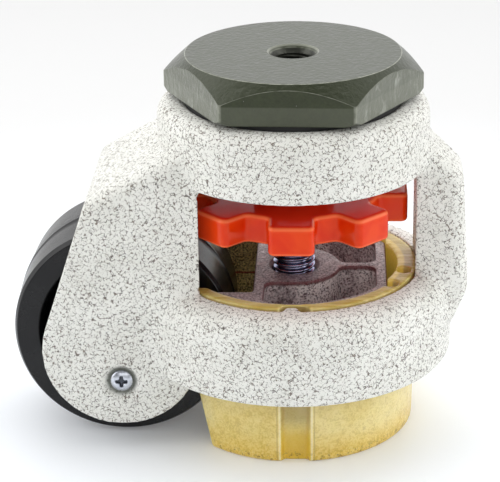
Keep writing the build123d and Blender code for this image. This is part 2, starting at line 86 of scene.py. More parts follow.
def axes(tree, vector):
    return addNode(tree, "SeparateXYZ", Vector=vector).outputs


def skinNormal(tree):
    return axes(tree, addNode(tree, "NewGeometry").outputs["Normal"])


def vectorNode(tree, operation, **inputs):
    return addNode(tree, "VectorMath", {"operation": operation}, **inputs).outputs[0]


def vectorLength(tree, vector):
    return addNode(tree, "VectorMath", {"operation": "LENGTH"}, _0=vector).outputs["Value"]


def flatLength(tree, vector, keep):
    # length of a vector once the axes that keep has at nothing are left out
    return vectorLength(tree, vectorNode(tree, "MULTIPLY", _0=vector, _1=keep))


def rangeMap(tree, value, low, high, toLow=0.0, toHigh=1.0, smooth=False):
    kind = "SMOOTHSTEP" if smooth else "LINEAR"
    node = addNode(tree, "MapRange", {"interpolation_type": kind}, Value=value, From_Min=low, From_Max=high,
                   To_Min=toLow, To_Max=toHigh)
    return node.outputs["Result"]


def mathNode(tree, operation, first, second=0.0):
    return addNode(tree, "Math", {"operation": operation}, _0=first, _1=second).outputs[0]


def product(tree, first, second):
    return mathNode(tree, "MULTIPLY", first, second)


def larger(tree, first, second):
    return mathNode(tree, "MAXIMUM", first, second)


def nearLevel(tree, value, level, outer, innerLit):
    # one where the value is less than inner from the level, falling to nothing at outer
    away = mathNode(tree, "ABSOLUTE", mathNode(tree, "SUBTRACT", value, level))
    return rangeMap(tree, away, outer, innerLit)


def mixColour(tree, factor, first, second):
    ends = [end if isinstance(end, bpy.types.NodeSocket) else (*end, 1) for end in (first, second)]
    return addNode(tree, "Mix", {"data_type": "RGBA"}, _0=factor, _6=ends[0], _7=ends[1]).outputs[2]


def cover(tree, colour, mask, share, paint):
    # the paint laid over a colour where the mask is, by no more than the share
    return mixColour(tree, product(tree, mask, share), colour, paint)


def noise(tree, place, scale, detail=3.0, roughness=0.5, distortion=0.0):
    return addNode(tree, "TexNoise", Vector=place, Scale=scale, Detail=detail, Roughness=roughness,
                   Distortion=distortion).outputs["Fac"]


def bump(tree, height, distance, strength=1.0, **under):
    # a normal pushed up by the height, on top of another normal where one is given
    node = addNode(tree, "Bump", Height=height, Strength=strength, Distance=distance, **under)
    return node.outputs["Normal"]


def newGroup(name, inputs, outputs):
    group = bpy.data.node_groups.new(name, "ShaderNodeTree")
    for label, kind, value in inputs:
        socket = group.interface.new_socket(label, in_out="INPUT", socket_type="NodeSocket" + kind)
        if value is not None:
            socket.default_value = value
    for label, kind in outputs:
        group.interface.new_socket(label, in_out="OUTPUT", socket_type="NodeSocket" + kind)
    return group, group.nodes.new("NodeGroupInput"), group.nodes.new("NodeGroupOutput")


def useGroup(tree, group, **inputs):
    node = tree.nodes.new("ShaderNodeGroup")
    node.node_tree = group
    return setInputs(tree, node, **inputs).outputs


# effects that several finishes use

def makeVeinGroup():
    # worm-like veins: edges of bent 3D cells, thin, and broken where a second noise is low
    look = dict(
        bendScale=1.7, bendSize=0.9, gapScale=1.15, gapFade=0.12, thinnest=0.0005, core=(0.55, 1.15),
        dip=(0.3, 2.6),
    )
    group, given, result = newGroup(
        "crackleVeins",
        [("Place", "Vector", None), ("Scale", "Float", 400.0), ("Width", "Float", 0.06),
         ("Gaps", "Float", 0.5)],
        [("Mask", "Float"), ("Dip", "Float")],
    )
    place, scale = given.outputs["Place"], given.outputs["Scale"]
    bendScale = product(group, scale, look["bendScale"])
    bend = addNode(group, "TexNoise", Vector=place, Scale=bendScale, Detail=2.0)
    shift = vectorNode(group, "SUBTRACT", _0=bend.outputs["Color"], _1=(0.5, 0.5, 0.5))
    shift = vectorNode(group, "SCALE", _0=shift, Scale=mathNode(group, "DIVIDE", look["bendSize"], scale))
    bent = vectorNode(group, "ADD", _0=place, _1=shift)
    cells = addNode(group, "TexVoronoi", {"feature": "DISTANCE_TO_EDGE"}, Vector=bent, Scale=scale)
    gapScale = product(group, scale, look["gapScale"])
    gaps = addNode(group, "TexNoise", Vector=place, Scale=gapScale, Detail=3.0, Roughness=0.6)
    present = mathNode(group, "SUBTRACT", gaps.outputs["Fac"], given.outputs["Gaps"])
    width = product(group, rangeMap(group, present, 0.0, look["gapFade"]), given.outputs["Width"])
    ratio = mathNode(group, "DIVIDE", cells.outputs["Distance"], larger(group, width, look["thinnest"]))
    setInputs(group, result, Mask=rangeMap(group, ratio, *look["core"], 1.0, 0.0),
              Dip=rangeMap(group, ratio, *look["dip"], 1.0, 0.0, smooth=True))
    return group


def makeGrainGroup():
    # fine grain: two noises, the second one broader, as a value round one half
    broader = 0.22
    group, given, result = newGroup(
        "fineGrain",
        [("Place", "Vector", None), ("Scale", "Float", 1500.0), ("Coarse", "Float", 0.4)],
        [("Grain", "Float")],
    )
    place, scale = given.outputs["Place"], given.outputs["Scale"]
    fine = addNode(group, "TexNoise", Vector=place, Scale=scale, Detail=4.0)
    broad = addNode(group, "TexNoise", Vector=place, Scale=product(group, scale, broader), Detail=2.0)
    mixed = addNode(group, "Mix", {"data_type": "FLOAT"}, _0=given.outputs["Coarse"],
                    _2=fine.outputs["Fac"], _3=broad.outputs["Fac"])
    setInputs(group, result, Grain=mixed.outputs[0])
    return group


veinGroup = makeVeinGroup()
grainGroup = makeGrainGroup()
print("shared effects made")


def grainAt(tree, place, scale, coarse):
    return useGroup(tree, grainGroup, Place=place, Scale=scale, Coarse=coarse)["Grain"]


# finishes; in a look, two numbers are where a mask starts and where it is full, or the least and the
# most that comes out of one, and four numbers are both

def speckledPowder():
    look = dict(
        paint=(0.88, 0.88, 0.83), shade=(0.81, 0.81, 0.755), vein=(0.072, 0.057, 0.043),
        rust=(0.17, 0.125, 0.09), scale=800.0, width=0.075, gaps=0.450, smallScale=1.6, smallWidth=1.2,
        smallGaps=0.07, smallShare=0.6, cloudScale=90.0, clouds=(0.35, 0.7), rustScale=900.0,
        rusting=(0.35, 0.65), veinCover=0.95, roughness=(0.42, 0.6), swellScale=260.0, swell=1.1,
        height=0.00004, screwPlace=(-0.0482, 0.0, 0.0202), dish=(0.0048, 0.0038),
        dishShadeTone=(0.13, 0.14, 0.115), dishShadeCover=0.9,
    )
    material, tree, shader = newMaterial("speckledPowder")
    place = objectPlace(tree)
    big = useGroup(tree, veinGroup, Place=place, Scale=look["scale"], Width=look["width"],
                   Gaps=look["gaps"])
    # smaller veins between the big ones, moved so that the two don't run together
    small = useGroup(tree, veinGroup, Place=mapped(tree, place, Location=(0.013, 0.027, 0.041)),
                     Scale=look["scale"] * look["smallScale"], Width=look["width"] * look["smallWidth"],
                     Gaps=look["gaps"] + look["smallGaps"])
    mask, dip = (larger(tree, big[kind], product(tree, small[kind], look["smallShare"]))
                 for kind in ("Mask", "Dip"))
    clouds = rangeMap(tree, noise(tree, place, look["cloudScale"]), *look["clouds"])
    base = mixColour(tree, clouds, look["paint"], look["shade"])
    rusting = rangeMap(tree, noise(tree, place, look["rustScale"]), *look["rusting"])
    tone = mixColour(tree, rusting, look["vein"], look["rust"])
    colour = cover(tree, base, mask, look["veinCover"], tone)
    # painted shade in the screw dishes: darker round the screw heads, where the recess shades them
    away = flatLength(tree, vectorNode(tree, "SUBTRACT", _0=place, _1=look["screwPlace"]), (1, 0, 1))
    colour = cover(tree, colour, rangeMap(tree, away, *look["dish"]), look["dishShadeCover"], look["dishShadeTone"])
    swell = product(tree, noise(tree, place, look["swellScale"], 1.5), look["swell"])
    height = mathNode(tree, "SUBTRACT", swell, dip)
    setInputs(tree, shader, Base_Color=colour, Roughness=rangeMap(tree, mask, 0.0, 1.0, *look["roughness"]),
              Normal=bump(tree, height, look["height"]), Specular_IOR_Level=0.5)
    return material


def olivePaint():
    look = dict(
        paint=(0.024, 0.033, 0.011), dark=(0.010, 0.015, 0.004), chamfer=(0.015, 0.021, 0.006),
        sawn=(0.150, 0.160, 0.128), bare=(0.42, 0.43, 0.39), edge=(0.36, 0.37, 0.31),
        hole=(0.010, 0.011, 0.008), upright=(0.12, 0.03), flat=(0.90, 0.98), aside=(0.3, 0.6),
        topTurn=((0.76, 0.82), (0.985, 0.94)), sideTurn=((0.66, 0.6), (0.1, 0.2)), sideWearAndHighlight=0.55,
        cornerWearAndHighlight=0.5, cornerRadius=(0.0357, 0.0359), holeRadius=(0.0063, 0.0061), mouthHighlightRadius=0.0069,
        mouthHighlightWidth=(0.00035, 0.0001), band=(0.1036, 0.1032), grain=1500.0, grainRange=(0.3, 0.7),
        sawScale=430.0, sawRange=(0.5, 0.66), patchScale=170.0, patches=(0.42, 0.62), chamferCover=0.7,
        sawnAndSheenCover=0.75, markAndSheenCover=0.6, bandCover=0.12, chipCover=0.6, mouthHighlightCover=0.7, brokenScale=420.0,
        broken=(0.35, 0.6, 0.25, 0.9), chipScale=950.0, chips=(0.73, 0.75), peel=760.0,
        peelHeight=0.00024, grainHeight=0.00006, sawHeight=0.0004, glossRange=(0.2, 0.8),
        roughness=(0.26, 0.46),
    )
    material, tree, shader = newMaterial("olivePaint")
    place = objectPlace(tree)
    normal = skinNormal(tree)
    radial = flatLength(tree, place, (1, 1, 0))
    grain = grainAt(tree, place, look["grain"], 0.45)
    upright = rangeMap(tree, mathNode(tree, "ABSOLUTE", normal["Z"]), *look["upright"])
    flat = rangeMap(tree, normal["Z"], *look["flat"])
    # saw marks: noise stretched upright, on the four faces that look sideways
    aside = rangeMap(tree, mathNode(tree, "ABSOLUTE", normal["X"]), *look["aside"])
    sideways = product(tree, aside, upright)
    stretched = mapped(tree, place, Scale=(1.0, 1.0, 0.36), Rotation=(0.0, 0.25, 0.0))
    saw = noise(tree, stretched, look["sawScale"], 5.0, 0.62, 1.4)
    patches = rangeMap(tree, noise(tree, place, look["patchScale"]), *look["patches"])
    marks = product(tree, product(tree, rangeMap(tree, saw, *look["sawRange"]), patches), sideways)
    colour = mixColour(tree, rangeMap(tree, grain, *look["grainRange"]), look["dark"], look["paint"])
    sloping = mathNode(tree, "SUBTRACT", 1.0, larger(tree, upright, flat))
    colour = cover(tree, colour, sloping, look["chamferCover"], look["chamfer"])
    # painted sheen: the four side faces and their saw marks are painted lighter, as light glancing off the
    # sawn finish shows them
    colour = cover(tree, colour, sideways, look["sawnAndSheenCover"], look["sawn"])
    colour = cover(tree, colour, marks, look["markAndSheenCover"], look["bare"])
    band = product(tree, rangeMap(tree, axes(tree, place)["Z"], *look["band"]), upright)
    colour = cover(tree, colour, band, look["bandCover"], look["edge"])
    # worn edges and painted highlight lines: lighter where the skin turns from flat to chamfer to side, and
    # at the upright corners
    turnTop, turnSide = (
        product(tree, rangeMap(tree, normal["Z"], *rise), rangeMap(tree, normal["Z"], *fall))
        for rise, fall in (look["topTurn"], look["sideTurn"])
    )
    corner = product(tree, rangeMap(tree, radial, *look["cornerRadius"]), look["cornerWearAndHighlight"])
    worn = larger(tree, larger(tree, turnTop, product(tree, turnSide, look["sideWearAndHighlight"])), corner)
    broken = rangeMap(tree, noise(tree, place, look["brokenScale"]), *look["broken"])
    colour = cover(tree, colour, worn, broken, look["edge"])
    chips = rangeMap(tree, noise(tree, place, look["chipScale"], 4.0), *look["chips"])
    colour = cover(tree, colour, chips, look["chipCover"], look["bare"])
    # painted shade, with the oil in it, darkens the inside of the tapped hole
    colour = mixColour(tree, rangeMap(tree, radial, *look["holeRadius"]), colour, look["hole"])
    # painted highlight: a light ring round the mouth of the hole
    mouth = nearLevel(tree, radial, look["mouthHighlightRadius"], *look["mouthHighlightWidth"])
    colour = cover(tree, colour, mouth, look["mouthHighlightCover"], look["edge"])
    peel = bump(tree, noise(tree, place, look["peel"], 2.0, 0.5, 0.3), look["peelHeight"], 0.8)
    fine = bump(tree, grain, look["grainHeight"], 0.5, Normal=peel)
    sawn = bump(tree, product(tree, saw, sideways), look["sawHeight"], 0.8, Normal=fine)
    setInputs(tree, shader, Base_Color=colour, Normal=sawn,
              Roughness=rangeMap(tree, grain, *look["glossRange"], *look["roughness"]),
              Specular_IOR_Level=0.45, Specular_Tint=(0.97, 1.0, 0.82, 1.0), Coat_Weight=0.2,
              Coat_Roughness=0.3, Sheen_Weight=0.15, Sheen_Roughness=0.4)
    return material


def redPlastic():
    look = dict(
        red=(0.80, 0.050, 0.003), flow=(0.74, 0.028, 0.002), top=(0.74, 0.018, 0.003),
        edge=(1.0, 0.20, 0.07), flowScale=120.0, flowRange=(0.35, 0.65), flat=(0.75, 0.98),
        turnFrom=(0.06, 0.35), turnTo=(0.97, 0.7), edgeHighlightCover=0.7, grain=900.0, grainRange=(0.3, 0.7),
        roughness=(0.10, 0.18), height=0.00002,
    )
    material, tree, shader = newMaterial("redPlastic")
    place = objectPlace(tree)
    flow = rangeMap(tree, noise(tree, place, look["flowScale"], 3.0, 0.5, 0.8), *look["flowRange"])
    colour = mixColour(tree, flow, look["flow"], look["red"])
    slope = mathNode(tree, "ABSOLUTE", skinNormal(tree)["Z"])
    # painted shade: faces that lie flat, above and below, are a darker red than the sides
    colour = mixColour(tree, rangeMap(tree, slope, *look["flat"]), colour, look["top"])
    # painted highlight on the thin edges: brightest where the skin turns over between side and flat
    edgeHighlight = product(tree, *(rangeMap(tree, slope, *look[key]) for key in ("turnFrom", "turnTo")))
    colour = cover(tree, colour, edgeHighlight, look["edgeHighlightCover"], look["edge"])
    grain = grainAt(tree, place, look["grain"], 0.5)
    setInputs(tree, shader, Base_Color=colour, Normal=bump(tree, grain, look["height"], 0.5),
              Roughness=rangeMap(tree, grain, *look["grainRange"], *look["roughness"]),
              Specular_IOR_Level=0.45, Specular_Tint=(1.0, 0.66, 0.5, 1.0))
    return material


def amberUrethane():
    look = dict(
        amber=(0.70, 0.53, 0.13), pale=(0.86, 0.73, 0.34), deep=(0.72, 0.47, 0.018),
        dark=(0.20, 0.11, 0.012), lipHighlight=(0.95, 0.86, 0.58), trim=(0.50, 0.36, 0.05),
        streak=(0.74, 0.61, 0.23), innerLit=(0.82, 0.58, 0.08), glow=(0.18, 0.125, 0.018),
        smokeAndShade=(0.42, 0.30, 0.10), cloudScale=55.0, clouds=(0.35, 0.68), bottomGlowBand=(0.009, 0.001),
        bottomGlowCover=0.9, sparkScale=1900.0, paleSparks=(0.42, 0.62, 0.0, 0.5),
        smokeSparks=(0.52, 0.36, 0.0, 0.35), fleckScale=520.0, flecks=(0.62, 0.74),
        fleckCover=(0.25, 0.9), footFleckScale=900.0, footFlecks=(0.53, 0.62), footBand=(0.0032, 0.0012),
        footCover=0.8, wallRadius=(0.0318, 0.0312), ringShadeBand=(0.012, 0.026, 0.0, 0.6),
        glowBand=(0.030, 0.046), grooveMiddle=0.001, grooveHalf=0.0043, grooveFade=0.0004,
        frontFace=(-0.030, -0.031), grooveUpperShade=(0.009, 0.013, 0.0, 0.65),
        grooveLowerGlow=(0.012, 0.007, 0.0, 0.75), lipHighlightOffset=0.0002, lipHighlightWidth=(0.0004, 0.0002),
        shadeOffset=0.0009, shadeWidth=(0.00025, 0.0001), grooveLineCover=0.5, rim=(0.0466, 0.0471),
        rimCover=0.85, streakScale=700.0, streaks=(0.4, 0.62), grain=1300.0, grainRange=(0.3, 0.7),
        roughness=(0.26, 0.42), height=0.00022,
    )
    material, tree, shader = newMaterial("amberUrethane")
    place = objectPlace(tree)
    parts = axes(tree, place)
    level = parts["Z"]
    clouds = rangeMap(tree, noise(tree, place, look["cloudScale"], 3.0, 0.55, 0.7), *look["clouds"])
    colour = mixColour(tree, clouds, look["amber"], look["pale"])
    # painted glow: the lowest part is a deeper, more saturated gold, for light shining through the urethane
    low = rangeMap(tree, level, *look["bottomGlowBand"])
    colour = cover(tree, colour, low, look["bottomGlowCover"], look["deep"])
    sparks = grainAt(tree, place, look["sparkScale"], 0.35)
    colour = mixColour(tree, rangeMap(tree, sparks, *look["paleSparks"]), colour, look["pale"])
    colour = mixColour(tree, rangeMap(tree, sparks, *look["smokeSparks"]), colour, look["smokeAndShade"])
    flecks = rangeMap(tree, noise(tree, place, look["fleckScale"], 4.0, 0.7), *look["flecks"])
    colour = cover(tree, colour, flecks, rangeMap(tree, low, 0, 1, *look["fleckCover"]), look["dark"])
    # the inner wall painted warmer and lighter near the rim, with a painted glow, standing in for light
    # through the urethane; painted shade darker towards the ring
    inside = rangeMap(tree, flatLength(tree, place, (1, 1, 0)), *look["wallRadius"])
    colour = mixColour(tree, inside, colour, look["innerLit"])
    colour = mixColour(tree, rangeMap(tree, level, *look["ringShadeBand"]), colour, look["smokeAndShade"])
    lit = product(tree, inside, rangeMap(tree, level, *look["glowBand"]))
    # the groove in front: painted shade above, painted golden glow below, and on each side a painted
    # highlight line with a thin painted shade beside it
    beside = mathNode(tree, "ABSOLUTE", mathNode(tree, "SUBTRACT", parts["X"], look["grooveMiddle"]))
    ahead = rangeMap(tree, parts["Y"], *look["frontFace"])
    groove = rangeMap(tree, beside, look["grooveHalf"], look["grooveHalf"] - look["grooveFade"])
    groove = product(tree, groove, ahead)
    for band, paint in (("grooveUpperShade", "smokeAndShade"), ("grooveLowerGlow", "deep")):
        colour = cover(tree, colour, groove, rangeMap(tree, level, *look[band]), look[paint])
    for line, paint in (("lipHighlight", "lipHighlight"), ("shade", "smokeAndShade")):
        edge = nearLevel(tree, beside, look["grooveHalf"] + look[line + "Offset"], *look[line + "Width"])
        colour = cover(tree, colour, product(tree, edge, ahead), look["grooveLineCover"], look[paint])
    footFlecks = noise(tree, place, look["footFleckScale"], 4.0, 0.7)
    footFlecks = rangeMap(tree, footFlecks, *look["footFlecks"])
    footFlecks = product(tree, footFlecks, rangeMap(tree, level, *look["footBand"]))
    colour = cover(tree, colour, footFlecks, look["footCover"], look["dark"])
    # trimmed rim, with short streaks
    rim = rangeMap(tree, level, *look["rim"])
    streakPlace = mapped(tree, place, Scale=(0.14, 1.0, 1.0), Rotation=(0, 0, 0.5))
    streaks = noise(tree, streakPlace, look["streakScale"], 4.0, 0.6, 0.4)
    rimColour = mixColour(tree, rangeMap(tree, streaks, *look["streaks"]), look["trim"], look["streak"])
    colour = cover(tree, colour, rim, look["rimCover"], rimColour)
    grain = grainAt(tree, place, look["grain"], 0.35)
    rough = mathNode(tree, "ADD", mathNode(tree, "ADD", grain, sparks), product(tree, streaks, rim))
    setInputs(tree, shader, Base_Color=colour, Normal=bump(tree, rough, look["height"], 0.8),
              Roughness=rangeMap(tree, grain, *look["grainRange"], *look["roughness"]),
              Emission_Color=mixColour(tree, lit, (0, 0, 0), look["glow"]), Emission_Strength=1.0,
              Subsurface_Weight=0.3, Subsurface_Radius=(1.0, 0.6, 0.15), Subsurface_Scale=0.006,
              Coat_Weight=0.25, Coat_Roughness=0.15)
    return material


def purpleCast():
    look = dict(
        cast=(0.30, 0.245, 0.252), light=(0.70, 0.62, 0.63), dark=(0.05, 0.034, 0.040),
        pocket=(0.70, 0.62, 0.63), pocketDark=(0.16, 0.135, 0.14), streak=(1.0, 0.97, 0.95),
        pocketSpark=(0.80, 0.79, 0.77), topSpark=(0.85, 0.80, 0.81), line=(0.12, 0.018, 0.024),
        gold=(0.95, 0.80, 0.40), goldDark=(0.24, 0.19, 0.08), seam=(0.30, 0.010, 0.012),
        litStrip=(1.0, 0.82, 0.36), grain=1700.0, topGrain=(0.36, 0.64), pocketGrain=(0.38, 0.60),
        goldGrain=(0.40, 0.60), glintGrain=(0.42, 0.54), castCover=0.2, flakes=2100.0,
        sparkle=(0.86, 0.95), pocketTop=(0.0456, 0.0450), streakScale=300.0, streaks=(0.47, 0.62),
        patchScale=150.0, patches=(0.46, 0.60), glintStreakShare=0.5, glintCover=0.85, pocketSparkCover=0.7,
        topSparkCover=0.5, notchSide=(0.0206, 0.0203), notchEnd=(-0.0108, -0.0113), seamLevel=0.0347,
        seamWidth=(0.0004, 0.0002), seamCover=0.8, litStripLevel=(0.0246, 0.0238),
        lineBand=((0.0446, 0.0451), (0.04595, 0.0458)), lineCover=0.85, glossRange=(0.3, 0.7),
        roughness=(0.35, 0.6), metal=(0.35, 0.95), pocketMetal=0.6, flakeShare=0.5, height=0.00016,
    )
    material, tree, shader = newMaterial("purpleCast")
    place = objectPlace(tree)
    parts = axes(tree, place)
    level = parts["Z"]
    grain = grainAt(tree, place, look["grain"], 0.2)
    top = mixColour(tree, rangeMap(tree, grain, *look["topGrain"]), look["dark"], look["light"])
    top = mixColour(tree, look["castCover"], top, look["cast"])
    flakes = addNode(tree, "TexVoronoi", Vector=place, Scale=look["flakes"])
    bright = addNode(tree, "SeparateColor", Color=flakes.outputs["Color"]).outputs[0]
    sparkle = rangeMap(tree, bright, *look["sparkle"])
    # the pockets: painted highlights on their walls, upright streaks and broad patches of glint
    inside = rangeMap(tree, level, *look["pocketTop"])
    pocketGrain = rangeMap(tree, grain, *look["pocketGrain"])
    pocket = mixColour(tree, pocketGrain, look["pocketDark"], look["pocket"])
    streakPlace = mapped(tree, place, Scale=(1.0, 1.0, 0.22))
    streaks = rangeMap(tree, noise(tree, streakPlace, look["streakScale"], 3.0, 0.6), *look["streaks"])
    patchPlace = mapped(tree, place, Scale=(1.0, 0.6, 0.05))
    patches = rangeMap(tree, noise(tree, patchPlace, look["patchScale"], 1.0, 0.4), *look["patches"])
    lit = larger(tree, product(tree, streaks, look["glintStreakShare"]), patches)
    glint = product(tree, lit, rangeMap(tree, grain, *look["glintGrain"]))
    pocket = cover(tree, pocket, glint, look["glintCover"], look["streak"])
    pocket = cover(tree, pocket, sparkle, look["pocketSparkCover"], look["pocketSpark"])
    colour = mixColour(tree, inside, top, pocket)
    colour = cover(tree, colour, sparkle, look["topSparkCover"], look["topSpark"])
    # the walls of the wheel notch: painted golden for the urethane that shows there and painted lighter
    # than the shade in the notch, with a seam and a painted highlight strip
    across = rangeMap(tree, mathNode(tree, "ABSOLUTE", parts["Y"]), *look["notchSide"])
    notch = product(tree, product(tree, across, rangeMap(tree, parts["X"], *look["notchEnd"])), inside)
    gold = mixColour(tree, rangeMap(tree, grain, *look["goldGrain"]), look["goldDark"], look["gold"])
    seam = nearLevel(tree, level, look["seamLevel"], *look["seamWidth"])
    gold = cover(tree, gold, seam, look["seamCover"], look["seam"])
    gold = mixColour(tree, rangeMap(tree, level, *look["litStripLevel"]), gold, look["litStrip"])
    colour = mixColour(tree, notch, colour, gold)
    # a dark line just below the plate's top
    line = product(tree, *(rangeMap(tree, level, *band) for band in look["lineBand"]))
    colour = cover(tree, colour, line, look["lineCover"], look["line"])
    metal = larger(tree, sparkle, product(tree, inside, look["pocketMetal"]))
    rough = mathNode(tree, "ADD", grain, product(tree, bright, look["flakeShare"]))
    setInputs(tree, shader, Base_Color=colour, Metallic=rangeMap(tree, metal, 0, 1, *look["metal"]),
              Roughness=rangeMap(tree, grain, *look["glossRange"], *look["roughness"]),
              Normal=bump(tree, rough, look["height"], 0.8))
    return material


def blackNylon():
    look = dict(
        black=(0.006, 0.006, 0.007), worn=(0.010, 0.010, 0.011), wearScale=160.0, wear=(0.4, 0.7),
        grain=1800.0, grainRange=(0.3, 0.7), roughness=(0.22, 0.28), height=0.000004,
    )
    material, tree, shader = newMaterial("blackNylon")
    place = objectPlace(tree)
    wear = rangeMap(tree, noise(tree, place, look["wearScale"], 4.0), *look["wear"])
    grain = grainAt(tree, place, look["grain"], 0.4)
    setInputs(tree, shader, Base_Color=mixColour(tree, wear, look["black"], look["worn"]),
              Roughness=rangeMap(tree, grain, *look["grainRange"], *look["roughness"]),
              Normal=bump(tree, grain, look["height"], 0.4), Specular_IOR_Level=0.3)
    return material


def blackRubber():
    look = dict(
        dark=(0.008, 0.008, 0.008), light=(0.03, 0.03, 0.03), grain=2000.0, grainRange=(0.3, 0.7),
        roughness=(0.6, 0.8), height=0.00004,
    )
    material, tree, shader = newMaterial("blackRubber")
    grain = grainAt(tree, objectPlace(tree), look["grain"], 0.4)
    setInputs(tree, shader, Base_Color=mixColour(tree, grain, look["dark"], look["light"]),
              Roughness=rangeMap(tree, grain, *look["grainRange"], *look["roughness"]),
              Normal=bump(tree, grain, look["height"]))
    return material


def metalFinish(name, colour, dark, roughness, grainScale=1600.0):
    # plated or ground steel: the colour drifts between two tones and the gloss varies with a fine grain
    look = dict(
        driftScale=300.0, drift=(0.35, 0.65), recess=(0.03, 0.035, 0.045), recessShadeCover=0.92,
        grainRange=(0.3, 0.7), smoother=0.8, rougher=1.25, height=0.00002,
    )
    material, tree, shader = newMaterial(name)
    place = objectPlace(tree)
    grain = grainAt(tree, place, grainScale, 0.5)
    drift = rangeMap(tree, noise(tree, place, look["driftScale"]), *look["drift"])
    tone = mixColour(tree, drift, dark, colour)
    # the cross in a screw's head carries its depth as an attribute; painted shade darkens the cross by that
    # depth
    deep = addNode(tree, "Attribute", {"attribute_name": "recess"}).outputs["Fac"]
    smoothest, roughest = roughness * look["smoother"], roughness * look["rougher"]
    setInputs(tree, shader, Base_Color=cover(tree, tone, deep, look["recessShadeCover"], look["recess"]),
              Roughness=rangeMap(tree, grain, *look["grainRange"], smoothest, roughest),
              Normal=bump(tree, grain, look["height"], 0.6), Metallic=1.0)
    return material


finishes = {
    "speckled_powder": speckledPowder(),
    "olive_paint": olivePaint(),
    "red_plastic": redPlastic(),
    "amber_urethane": amberUrethane(),
    "purple_cast": purpleCast(),
    "black_nylon": blackNylon(),
    "black_rubber": blackRubber(),
    "bright_zinc": metalFinish("brightZinc", (0.72, 0.75, 0.80), (0.5, 0.53, 0.6), 0.28),
    "yellow_zinc": metalFinish("yellowZinc", (0.62, 0.47, 0.18), (0.45, 0.36, 0.16), 0.33),
    "bronze": metalFinish("bronzeBush", (0.62, 0.40, 0.17), (0.40, 0.25, 0.1), 0.4),
    "ball_steel": metalFinish("ballSteel", (0.68, 0.69, 0.70), (0.5, 0.5, 0.52), 0.2),
    "black_oxide": metalFinish("blackOxide", (0.52, 0.55, 0.76), (0.22, 0.23, 0.35), 0.2, 900.0),
}
slotOf = {part["node"]: part["material_slot"] for part in frame["record"]["subparts"]}
for nodeName, node in nodes.items():
    node.data.materials.clear()
    node.data.materials.append(finishes[slotOf[nodeName]])
print("finishes made", len(finishes))


# helpers for meshes; sizes from here on are in millimetres

def softStep(value, low, high):
    share = np.clip((value - low) / (high - low), 0, 1)
    return share * share * (3 - 2 * share)


def finishPiece(piece, nodeName, slot, body):
    piece.data.polygons.foreach_set("use_smooth", [True] * len(piece.data.polygons))
    piece.data.materials.clear()
    piece.data.materials.append(finishes[slot])
    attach(piece, body)
    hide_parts(nodeName)


def newPiece(name, points, faces, nodeName, slot, body):
    # one closed mesh in place of the named solid, with its faces turned outwards
    mesh = bpy.data.meshes.new(name)
    mesh.from_pydata((points * mm).tolist(), [], faces)
    work = bmesh.new()
    work.from_mesh(mesh)
    bmesh.ops.recalc_face_normals(work, faces=work.faces)
    work.to_mesh(mesh)
    work.free()
    piece = bpy.data.objects.new(name, mesh)
    bpy.context.collection.objects.link(piece)
    finishPiece(piece, nodeName, slot, body)
    print("new piece", name, len(faces), "faces")
    return piece


def gridFaces(rows, columns, closeRows=False):
    # quads of a grid whose columns run round and close; the rows close too on a ring-shaped skin
    row, column = np.meshgrid(np.arange(rows if closeRows else rows - 1), np.arange(columns), indexing="ij")
    nextRow, nextColumn = (row + 1) % rows, (column + 1) % columns
    corners = (row * columns + column, row * columns + nextColumn,
               nextRow * columns + nextColumn, nextRow * columns + column)
    return np.stack(corners, axis=-1).reshape(-1, 4).tolist()


def cappedGrid(grid, startLevel, endLevel):
    # a grid's points and quads, with each end closed by a fan round a point on the axis at the given level
    rows, columns = grid.shape[:2]
    points = np.vstack((grid.reshape(-1, 3), [[0, 0, startLevel], [0, 0, endLevel]]))
    around = np.arange(columns)
    beyond, lastRow = (around + 1) % columns, (rows - 1) * columns
    startFan = np.stack((np.full(columns, rows * columns), beyond, around), axis=-1)
    endFan = np.stack((np.full(columns, rows * columns + 1), lastRow + around, lastRow + beyond), axis=-1)
    return points, gridFaces(rows, columns) + startFan.tolist() + endFan.tolist()


def ringAngles(segments):
    return np.linspace(0, 2 * np.pi, segments, endpoint=False)


def aroundAxis(radius, angle, level):
    # points at a radius and a level for each angle round Z
    return np.stack(np.broadcast_arrays(radius * np.cos(angle), radius * np.sin(angle), level), axis=-1)


def unit(vectors):
    return vectors / np.linalg.norm(vectors, axis=-1, keepdims=True)


def roundCorners(corners, steps, lead):
    # each (r, z, radius) corner becomes an arc that touches both of its sides, with a point just before
    # and just after it; r and z may be arrays, one value for each column of a grid
    count = len(corners)
    values = np.broadcast_arrays(*[corner[0] for corner in corners], *[corner[1] for corner in corners])
    places = np.stack((values[:count], values[count:]), axis=-1).astype(float)
    spread = (-1,) + (1,) * (places.ndim - 1)
    turns = np.linspace(0, 1, steps).reshape(spread)
    evenly = np.linspace(-0.5, 0.5, steps + 2).reshape(spread)
    path = []
    for index, (_, _, radius) in enumerate(corners):
        here = places[index]
        if radius <= 0:
            path.append(here)
            continue
        before, after = unit(places[index - 1] - here), unit(places[(index + 1) % count] - here)
        half = np.arccos(np.clip((before * after).sum(axis=-1, keepdims=True), -1, 1)) / 2
        straight = half > 1.55  # a straight run keeps as many points as an arc
        half = np.where(straight, 1, half)
        reach, sweep = radius / np.tan(half), np.pi - 2 * half
        middle = here + unit(np.where(straight, after, before + after)) * radius / np.sin(half)
        start, end = here + before * reach - middle, here + after * reach - middle
        arc = (np.sin((1 - turns) * sweep) * start + np.sin(turns * sweep) * end) / np.sin(sweep)
        ends = here + before * (reach + lead), here + after * (reach + lead)
        bend = np.concatenate((ends[:1], middle + arc, ends[1:]))
        path.extend(np.where(straight, here + evenly * radius * after, bend))
    return np.array(path)


# castings and mouldings, made from the solids with softer edges

